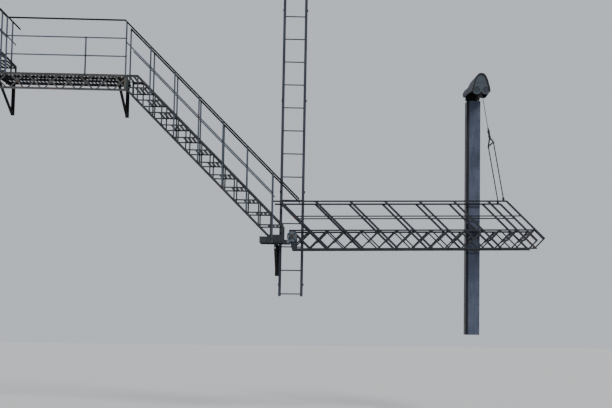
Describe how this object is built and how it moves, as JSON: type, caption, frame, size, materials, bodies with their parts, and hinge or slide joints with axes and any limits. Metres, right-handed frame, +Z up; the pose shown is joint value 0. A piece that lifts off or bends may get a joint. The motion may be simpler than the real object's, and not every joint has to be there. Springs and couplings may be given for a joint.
{
  "type": "fire escape stair",
  "caption": "Wall-hung steel fire escape with railed platform, lattice flights, landing, cable-balanced swing stair that lowers to the ground, hooded sheaves, weight case and ladder",
  "frame": {"origin": "the middle of the wall face of the right-hand platform bracket's plate", "axes": "X along the wall to the right, Y into the wall, Z up"},
  "size_m": [9.8102, 0.963, 6.1634],
  "materials": {
    "dark_painted_steel": "worn dark paint, rust at edges",
    "grey_painted_steel": "weathered blue-grey paint",
    "plate_paint": "weathered grey paint",
    "tread_steel": "foot-worn dark paint",
    "worn_steel": "greased, rusty",
    "wire_rope": "dull wire rope"
  },
  "bodies": {
    "fixed_stair": {"right_platform_bracket": "dark_painted_steel", "left_platform_bracket": "dark_painted_steel", "landing_bracket": "dark_painted_steel", "platform_girder": "dark_painted_steel", "platform_bearers": "dark_painted_steel", "platform_deck": "tread_steel", "platform_posts": "grey_painted_steel", "platform_top_rail": "dark_painted_steel", "platform_mid_rails": "grey_painted_steel", "upper_flight_outer_girder": "dark_painted_steel", "upper_flight_inner_girder": "dark_painted_steel", "upper_flight_treads": "tread_steel", "upper_flight_posts": "grey_painted_steel", "upper_flight_handrails": "dark_painted_steel", "upper_flight_mid_rails": "grey_painted_steel", "flight_outer_girder": "dark_painted_steel", "flight_inner_girder": "dark_painted_steel", "flight_treads": "tread_steel", "flight_posts": "grey_painted_steel", "flight_handrails": "dark_painted_steel", "flight_mid_rails": "grey_painted_steel", "landing_frame": "dark_painted_steel", "landing_deck": "tread_steel", "pivot_plates": "plate_paint", "pivot_shaft": "worn_steel", "ladder_rails": "dark_painted_steel", "ladder_rungs": "dark_painted_steel", "ladder_standoffs": "dark_painted_steel", "counterweight_case": "plate_paint", "sheave_frame": "dark_painted_steel", "sheaves": "worn_steel", "sheave_hood": "plate_paint", "hoist_cable": "wire_rope"},
    "swing_stair": {"swing_outer_girder": "dark_painted_steel", "swing_inner_girder": "dark_painted_steel", "swing_treads": "tread_steel", "swing_posts": "dark_painted_steel", "swing_newels": "dark_painted_steel", "swing_handrails": "dark_painted_steel", "swing_mid_rails": "dark_painted_steel"},
    "bridle": {"bridle_rods": "worn_steel", "bridle_yoke": "worn_steel", "cable_fall": "wire_rope"},
    "cable_end": {"cable_head": "wire_rope"}
  },
  "joints": [
    {"name": "swing_hinge", "type": "hinge", "parent": "fixed_stair", "child": "swing_stair", "pos_m": [2.778, -0.605, -2.24], "axis": [0, 1, 0], "range_deg": [0, 46]},
    {"name": "bridle_hinge", "type": "hinge", "parent": "swing_stair", "child": "bridle", "pos_m": [6.15193, -0.605, -1.57652], "axis": [0, 1, 0], "range_deg": [-32.9, 0]},
    {"name": "cable_feed", "type": "slide", "parent": "bridle", "child": "cable_end", "axis": [-0.1774, 0, 0.9841], "range_m": [0, 2.6117], "deforming": ["cable_fall"]}
  ],
  "couplings": [
    {"joint": "bridle_hinge", "follows": "swing_hinge", "ratio": -0.71312},
    {"joint": "cable_feed", "follows": "swing_hinge", "m_per_rad": 3.2468}
  ]
}
